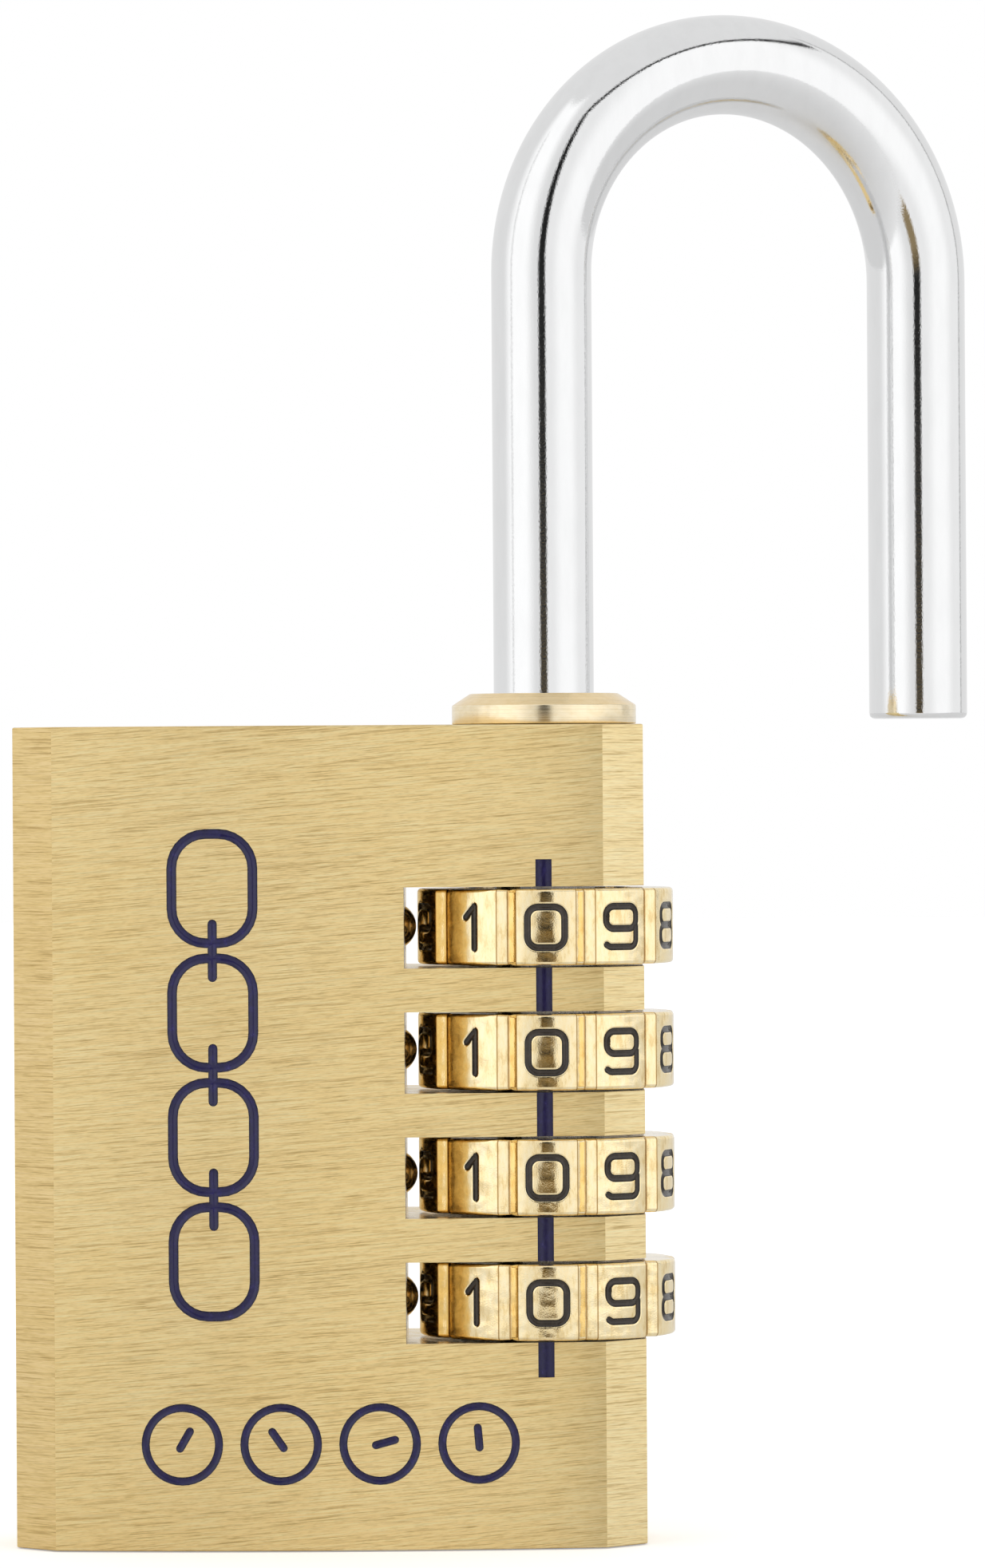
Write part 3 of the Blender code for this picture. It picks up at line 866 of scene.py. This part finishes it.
def wheel_block():
    """The bare wheel: ten rounded facets, soft rims and a splined bore."""
    half = WHEEL_HEIGHT / 2
    rows = []
    rim_steps = 4
    for i in range(rim_steps + 1):
        bend = math.pi / 2 * i / rim_steps
        rows.append((-half + WHEEL_RIM * (1 - math.cos(bend)), WHEEL_RIM * (1 - math.sin(bend))))
    rows += [(-z, inset) for z, inset in reversed(rows)]
    sector = math.tau / DIGITS
    half_recess = sector * 0.24
    bm = bmesh.new()
    columns = []
    for facet in range(DIGITS):
        for angle in wheel_angles():
            full = -math.pi / 2 + facet * sector + angle
            wrapped = (angle + sector / 2) % sector - sector / 2
            column = []
            for z, inset in rows:
                x, y = polar(facet_radius(wrapped) - inset, full)
                column.append(bm.verts.new((x, y, z)))
            in_recess = abs(((full + sector / 2) % sector) - sector / 2) < half_recess
            bore = RING_RADIUS + (SPLINE_REACH if in_recess else 0)
            x, y = polar(bore, full)
            column.append(bm.verts.new((x, y, half)))
            column.append(bm.verts.new((x, y, -half)))
            columns.append(column)
    for left, right in zip(columns, columns[1:] + columns[:1]):
        for k in range(len(left)):
            n = (k + 1) % len(left)
            bm.faces.new((left[k], right[k], right[n], left[n]))
    return placed("wheel", mesh_from(bm, "wheel", [WHEEL_BRASS]))


def digit_strokes():
    """For each digit, its strokes in millimetres as (points, corner radius, closed)."""
    w, h, m = 1.48, 1.60, -0.16
    box = [(-w, -h), (w, -h), (w, h), (-w, h)]
    upper = [(-w, m), (w, m), (w, h), (-w, h)]
    lower = [(-w, -h), (w, -h), (w, m + 0.3), (-w, m + 0.3)]
    base = [(-w, -h), (w, -h), (w, 0.03), (-w, 0.03)]
    cap = [(-w + 0.06, 0.06), (w - 0.06, 0.06), (w - 0.06, h), (-w + 0.06, h)]
    stem, flag = [(0.42, h + 0.05), (0.42, -h - 0.05)], [(0.26, h - 0.12), (-0.42, 0.78)]
    return {
        0: [(box, 0.85, True)],
        1: [(stem, 0, False), (flag, 0, False)],
        2: [([(-w, h - 0.15), (-1.1, h), (w, h), (w, m), (-w, m), (-w, -h), (w, -h)], 0.6, False)],
        3: [([(-w, h), (w, h), (w, -h), (-w, -h)], 0.7, False), ([(-0.7, m), (w - 0.1, m)], 0, False)],
        4: [([(-w, h), (-w, -0.6), (w, -0.6)], 0.5, False), ([(0.6, 0.5), (0.6, -h)], 0, False)],
        5: [([(w, h), (-w, h), (-w, m + 0.2), (w, m + 0.2), (w, -h), (-w, -h)], 0.6, False)],
        6: [(lower, 0.7, True), ([(-w, 0), (-w, h), (w, h)], 0.7, False)],
        7: [([(-w, h), (w, h), (0.15, -0.2), (0.0, -h)], 0.55, False)],
        8: [(base, 0.66, True), (cap, 0.62, True)],
        9: [(upper, 0.7, True), ([(w, 0), (w, -h), (-w + 0.35, -h), (-w + 0.05, -h + 0.18)], 0.6, False)],
    }


def digit_channel(digit, points, corner, closed, scale):
    """One stroke wrapped on its digit's facet: paint, darker at its edge as painted shade, and a soft brass
    lip above it.
    """
    mm = 0.001
    filled = [(0, -0.22), (0.10, -0.20), (0.18, -0.15), (0.25, -0.10)]
    lip = [(0.28, -0.05), (0.335, -0.020), (0.43, 0.008), (0.43, 0.30)]
    section = [(across * mm * scale, height * mm) for across, height in filled + lip]
    # The stroke's outer edge takes the darker paint, as painted shade.
    inks = [1, 1, 2, 2, 0, 0, 0]
    flat = rounded([Vector(point) * mm for point in points], corner * mm, closed)
    middle = -math.pi / 2 - digit * math.tau / DIGITS
    path, outward = [], []
    for across, up in dense(flat, 0.00035, closed):
        turn = across / WHEEL_RADIUS
        x, y = polar(1, middle + turn)
        outward.append(Vector((x, y, 0)))
        path.append(outward[-1] * facet_radius(turn) + Vector((0, 0, up)))
    return channel(path, outward, section, inks, [WHEEL_BRASS, GREY, GREY_WALL_SHADE], closed)


def digit_cutters():
    """All first strokes in one cutter, and all second strokes, a hair thinner, in another."""
    layers = ([], [])
    for digit, strokes in digit_strokes().items():
        for layer, scale, stroke in zip(layers, (1, 0.96), strokes):
            layer.append(digit_channel(digit, *stroke, scale))
    return [placed(f"strokes_{i}", joined_mesh(f"strokes_{i}", layer)) for i, layer in enumerate(layers)]


def wheel_normal(place, face):
    """The true normal on the wheel's outer surface, and None on its bore, ends and digits."""
    radius = math.hypot(place.x, place.y)
    rim_start = WHEEL_HEIGHT / 2 - WHEEL_RIM
    bend = max(abs(place.z) - rim_start, 0) / WHEEL_RIM
    outside_bore = radius > RING_RADIUS + SPLINE_REACH + 0.0005
    if face.material_index or not outside_bore or bend > 0.999:
        return None
    sector = math.tau / DIGITS
    angle = math.atan2(place.y, place.x)
    towards = math.atan2(face.center.y, face.center.x)
    nudge = 1e-4
    side = math.copysign(nudge, math.remainder(towards - angle, math.tau))
    from_facet = math.remainder(angle + math.pi / 2, sector) + side
    expected = facet_radius(from_facet) - WHEEL_RIM * (1 - math.sqrt(1 - bend**2))
    if abs(radius - expected) > SKIN_TOLERANCE:
        return None
    step = 1e-5
    slope = (facet_radius(from_facet + step) - facet_radius(from_facet - step)) / (2 * step)
    out = Vector((*polar(1, angle), 0))
    around = Vector((-out.y, out.x, 0))
    level = (out * radius - around * slope).normalized()
    return level * math.sqrt(1 - bend**2) + Vector((0, 0, math.copysign(bend, place.z)))


def make_wheels():
    wheel = smooth(carved(wheel_block(), digit_cutters()), 22)
    set_normals(wheel, wheel_normal)
    wheels = []
    for number in WHEELS:
        piece = placed(f"dial_wheel_{number}", wheel.data, (AXIS_X, 0, wheel_z(number)))
        wheels.append(piece)
    bpy.data.objects.remove(wheel)
    return wheels


# -------- shackle, bush and plug
def shackle_path():
    """(x, z, inset) from the long leg's foot to the short leg's. The inset chamfers both ends."""
    chamfer = 0.00045
    chamfer_steps, bow_steps = 3, 72
    bends = [math.pi / 2 * i / chamfer_steps for i in range(chamfer_steps + 1)]
    path = []
    for bend in bends:
        z = SHACKLE_LOW.z + chamfer * (1 - math.cos(bend))
        path.append((0, z, chamfer * (1 - math.sin(bend))))
    for i in range(bow_steps + 1):
        x, z = polar(BEND_RADIUS, math.pi - math.pi * i / bow_steps)
        path.append((BEND_RADIUS + x, SPRING_LINE_Z + z, 0))
    for bend in bends:
        z = SHORT_LEG_FOOT_Z + chamfer * (1 - math.sin(bend))
        path.append((LEG_SPACING, z, chamfer * (1 - math.cos(bend))))
    return path


def shackle_mesh():
    """The rod in its own frame: the long leg on the Z axis and the short leg towards +X."""
    sides = 64
    bm = bmesh.new()
    rings = []
    for x, z, inset in shackle_path():
        bow = min(max(math.atan2(z - SPRING_LINE_Z, BEND_RADIUS - x), 0), math.pi)
        if z < SPRING_LINE_Z:
            bow = 0 if x < BEND_RADIUS else math.pi
        outward = Vector((-math.cos(bow), 0, math.sin(bow)))
        across = Vector((0, 1, 0))
        ring = []
        for k in range(sides):
            a, b = polar(ROD_RADIUS - inset, math.tau * k / sides)
            ring.append(bm.verts.new(Vector((x, 0, z)) + outward * a + across * b))
        rings.append(ring)
    skin_rings(bm, rings)
    return mesh_from(bm, "shackle_rod", [CHROME])


def make_shackle():
    """The rod, with the socket that takes the spindle's neck and the cross pin's hole."""
    socket_radius, socket_clearance = 0.0022, 0.0004
    pin_hole_radius, pin_x, pin_reach = 0.0007, 0.0019, 0.008
    shackle = placed("shackle_rod", shackle_mesh())
    socket = ((0, 0, SHACKLE_LOW.z - PAST), (0, 0, SPINDLE_TOP_Z + socket_clearance))
    pin_z = (PIN_LOW.z + PIN_HIGH.z) / 2
    pin_hole = ((pin_x, -pin_reach, pin_z), (pin_x, pin_reach, pin_z))
    cutters = [
        rod_cutter("neck_socket", socket_radius, *socket, 48, PIN_STEEL),
        rod_cutter("pin_hole", pin_hole_radius, *pin_hole, 24, PIN_STEEL),
    ]
    carved(shackle, cutters)
    shackle.location = (AXIS_X, 0, 0)
    shackle.rotation_euler.z = SWING
    return smooth(shackle, 40)


def make_bush():
    top = BUSH_HIGH.z
    flange = (BUSH_HIGH.x - BUSH_LOW.x) / 2
    bore, stem, mouth = 0.00415, 0.0060, 0.0004
    chamfer_width, chamfer_drop = 0.00145, 0.00095
    flange_foot = CASE_HEIGHT + 0.00006
    profile = [
        (bore + mouth, top),
        (flange - chamfer_width, top),
        (flange, top - chamfer_drop),
        (flange, flange_foot),
        (stem, flange_foot),
        (stem, BUSH_LOW.z),
        (bore, BUSH_LOW.z),
        (bore, top - mouth),
    ]
    outline = softened(profile, 0.00010, closed=True)
    mesh = lathe("bush", outline, 128, closed=True, materials=[TURNED_BRASS, CHAMFER_PAINTED_REFLECTION])
    for face in mesh.polygons:
        # The upward chamfer takes the darker, warmer copy as painted reflection.
        face.material_index = 1 if 0.5 < face.normal.z < 0.95 else 0
    return smooth(placed("bush_collar", mesh, (AXIS_X, 0, 0)), 40)


def make_plug():
    low, high = PLUG_LOW.z, PLUG_HIGH.z
    plug_radius, boss_radius, boss_height = 0.0060, 0.0017, 0.0018
    slot_length, slot_width, slot_depth = 0.0090, 0.0012, 0.0012
    shoulder = high - boss_height
    boss = [(0, high), (boss_radius, high), (boss_radius, shoulder)]
    profile = boss + [(plug_radius, shoulder), (plug_radius, low), (0, low)]
    mesh = lathe("plug", softened(profile, 0.0003), 96, closed=False, materials=[TURNED_BRASS])
    plug = placed("base_plug", mesh)
    slot_low = (-slot_length / 2, -slot_width / 2, -PAST)
    slot_high = (slot_length / 2, slot_width / 2, slot_depth)
    slot = box_cutter("plug_slot", slot_low, slot_high, TURNED_BRASS)
    carved(plug, [slot])
    plug.location = (AXIS_X, 0, 0)
    return smooth(plug, 35)


def make_balls():
    balls = []
    for number in WHEELS:
        low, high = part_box(f"detent_ball_{number}")
        centre = (low + high) / 2
        bm = bmesh.new()
        bmesh.ops.create_icosphere(bm, subdivisions=4, radius=(high.z - low.z) / 2)
        ball = placed(f"click_ball_{number}", mesh_from(bm, "click_ball", [BALL_STEEL_PAINTED_REFLECTION]), centre)
        balls.append(smooth(ball, 60))
    return balls


def coil(name, radius, wire, length, turns):
    """A helix along +Z from z = 0 whose turns close up a little at both ends."""
    steps = 28
    points = []
    total = turns * steps
    for i in range(total + 1):
        share = i / total
        x, y = polar(radius, math.tau * i / steps)
        points.append((x, y, length * (share - 0.5 / turns * math.sin(math.tau * share))))
    return tube(name, points, wire, 10, [WIRE_STEEL])


def make_springs():
    """The shackle's spring and the four detent springs."""
    low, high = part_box("shackle_spring")
    wire = 0.0003
    mesh = coil("lift_spring", 0.0024, wire, high.z - low.z - 2 * wire, turns=14)
    lift = smooth(placed("lift_spring", mesh, (AXIS_X, 0, low.z + wire)), 60)
    clicks = []
    for number in WHEELS:
        low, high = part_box(f"detent_spring_{number}")
        wire = 0.0002
        mesh = coil("click_spring", 0.00135, wire, high.x - low.x - 2 * wire, turns=7)
        mesh.transform(Matrix.Rotation(math.pi / 2, 4, "Y"))
        place = (low.x + wire, 0, wheel_z(number))
        clicks.append(smooth(placed(f"click_spring_{number}", mesh, place), 60))
    return lift, clicks


# -------- hanging the pieces on the frame
def hang(piece, body, node):
    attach(piece, body)
    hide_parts(node)
    return piece


hang(make_case(), "root", "lock_body")
hang(make_bush(), "root", "shackle_bush")
hang(make_plug(), "root", "bottom_plug")
hang(make_shackle(), "shackle", "shackle")
for number, wheel in zip(WHEELS, make_wheels()):
    hang(wheel, f"wheel_{number}", f"number_wheel_{number}")
for number, ball in zip(WHEELS, make_balls()):
    hang(ball, f"ball_{number}", f"detent_ball_{number}")
lift_spring, click_springs = make_springs()
hang(lift_spring, "root", "shackle_spring")
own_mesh(lift_spring)
for number, spring in zip(WHEELS, click_springs):
    hang(spring, "root", f"detent_spring_{number}")
    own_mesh(spring)


def recolour(node, material):
    mesh = frame["nodes"][node].data
    mesh.materials.clear()
    mesh.materials.append(material)


recolour("locking_spindle", PIN_STEEL)
recolour("coupling_pin", PIN_STEEL)
for number in WHEELS:
    recolour(f"code_ring_{number}", TURNED_BRASS)


# -------- camera, floor and light
def make_camera():
    data = bpy.data.cameras.new("camera")
    data.lens = 189.7
    data.sensor_width = 36
    camera = bpy.data.objects.new("camera", data)
    camera.location = (0.01306, -0.660, 0.0603)
    roll = math.radians(0.35)
    camera.rotation_euler = (math.pi / 2, roll, 0)
    bpy.context.scene.collection.objects.link(camera)
    bpy.context.scene.camera = camera


def make_floor():
    """A pale matt floor that glows, most of all for the camera, and for all rays near its front edge."""
    look = Look("floor", (0.84, 0.84, 0.84), 0.9, metallic=0.0)
    front, back, side, height = -0.25, 3.0, 3.0, -0.0001
    camera_glow, edge_glow, edge_glow_end = 0.38, 0.17, -0.06
    seen = look.node("ShaderNodeLightPath").outputs["Is Camera Ray"]
    y = look.node("ShaderNodeSeparateXYZ", Vector=look.place).outputs["Y"]
    near = look.spread(y, edge_glow, 0.0, from_low=front, from_high=edge_glow_end)
    glow = look.math("MAXIMUM", near, look.math("MULTIPLY", seen, camera_glow))
    look.shader.inputs["Emission Color"].default_value = (1, 1, 1, 1)
    look.feed(look.shader.inputs["Emission Strength"], glow)
    look.shader.inputs["Specular IOR Level"].default_value = 0.0
    corners = [(-side, front), (side, front), (side, back), (-side, back)]
    bm = bmesh.new()
    bm.faces.new([bm.verts.new((x, y, height)) for x, y in corners])
    placed("floor", mesh_from(bm, "floor", [look.material]))


# The studio's walls, and what stands before them: (light, azimuths, elevations, softness of the
# sides, the foot and the top), in degrees. Azimuth 0 is towards the camera and 90 to its right.
WALL_LIGHT = 0.86
PATCHES = (
    (0.98, (0, 117), (-20, 47), (1.5, 6, 1.5)),
    (1.16, (33, 80), (-20, 47), (14, 6, 1.5)),
    (1.20, (-86, -27), (-20, 62), (14, 6, 1.5)),
    (0.74, (-75.5, -72.5), (-30, 50), (1.6, 1.5, 1.5)),
    (0.42, (117, 120.5), (-30, 50), (0.8, 1.5, 1.5)),
    (0.02, (0, 108), (45.5, 49.3), (0.8, 0.8, 0.8)),
)


class Sky(Nodes):
    """A white studio: graded soft boxes left and right of the camera, a narrow dark gap between them."""

    def __init__(self):
        world = bpy.data.worlds.new("studio")
        bpy.context.scene.world = world
        world.use_nodes = True
        super().__init__(world.node_tree)
        self.background = self.tree.nodes["Background"]
        direction = self.node("ShaderNodeTexCoord").outputs["Generated"]
        parts = self.node("ShaderNodeSeparateXYZ", Vector=direction)
        back = self.math("MULTIPLY", parts.outputs["Y"], -1.0)
        self.azimuth = self.math("DEGREES", self.math("ARCTAN2", parts.outputs["X"], back))
        self.elevation = self.math("DEGREES", self.math("ARCSINE", parts.outputs["Z"]))

    def step(self, value, edge, soft):
        made = self.node("ShaderNodeMapRange", Value=value, From_Min=edge - soft, From_Max=edge + soft)
        made.interpolation_type = "SMOOTHSTEP"
        return made.outputs["Result"]

    def within(self, value, low, high, soft):
        outside = self.step(value, high, soft)
        return self.math("MULTIPLY", self.step(value, low, soft), self.math("SUBTRACT", 1.0, outside))

    def patch(self, azimuths, elevations, side, foot, top):
        """1 inside a box of directions. Side, foot and top are the softness of its edges."""
        across = self.within(self.azimuth, *azimuths, side)
        low, high = elevations
        above = self.step(self.elevation, low, foot)
        below = self.math("SUBTRACT", 1.0, self.step(self.elevation, high, top))
        return self.math("MULTIPLY", across, self.math("MULTIPLY", above, below))

    def by_elevation(self, low, high, at_low, at_high):
        """A value that runs from at_low to at_high between two elevations."""
        return self.spread(self.elevation, at_low, at_high, from_low=low, from_high=high)

    def gap(self):
        """1 in the upright gap in front of the lock, which narrows towards its top."""
        middle = 0.4
        width = self.by_elevation(low=3, high=46, at_low=8.0, at_high=3.6)
        away = self.math("ABSOLUTE", self.math("SUBTRACT", self.azimuth, middle))
        share = self.math("DIVIDE", away, width)
        inside = self.math("SUBTRACT", 1.0, self.step(share, 1.0, 0.12))
        tall = self.within(self.elevation, low=-18, high=48, soft=1.5)
        return self.math("MULTIPLY", inside, tall)

    def blend(self, base, value, mask):
        """base where the mask is 0 and value where it is 1."""
        return self.math("ADD", base, self.math("MULTIPLY", self.math("SUBTRACT", value, base), mask))

    def warm(self, mask):
        """Light of a warm colour where the mask is 1, and white where it is 0."""
        colour = self.ramp(mask, [(0, (1, 1, 1)), (1, (1, 0.76, 0.42))])
        self.feed(self.background.inputs["Color"], colour)

    def build(self):
        light = WALL_LIGHT
        for strength, azimuths, elevations, softness in PATCHES:
            light = self.blend(light, strength, self.patch(azimuths, elevations, *softness))
        gap = self.gap()
        gap_light = self.by_elevation(low=-6, high=2.5, at_low=0.30, at_high=0.02)
        light = self.blend(light, gap_light, gap)
        below = self.by_elevation(low=0.2, high=1.2, at_low=1.0, at_high=0.0)
        self.warm(self.math("MULTIPLY", gap, below))
        seen = self.node("ShaderNodeLightPath").outputs["Is Camera Ray"]
        self.feed(self.background.inputs["Strength"], self.blend(light, 1.0, seen))


make_camera()
make_floor()
Sky().build()
bpy.context.scene.view_settings.view_transform = "Standard"
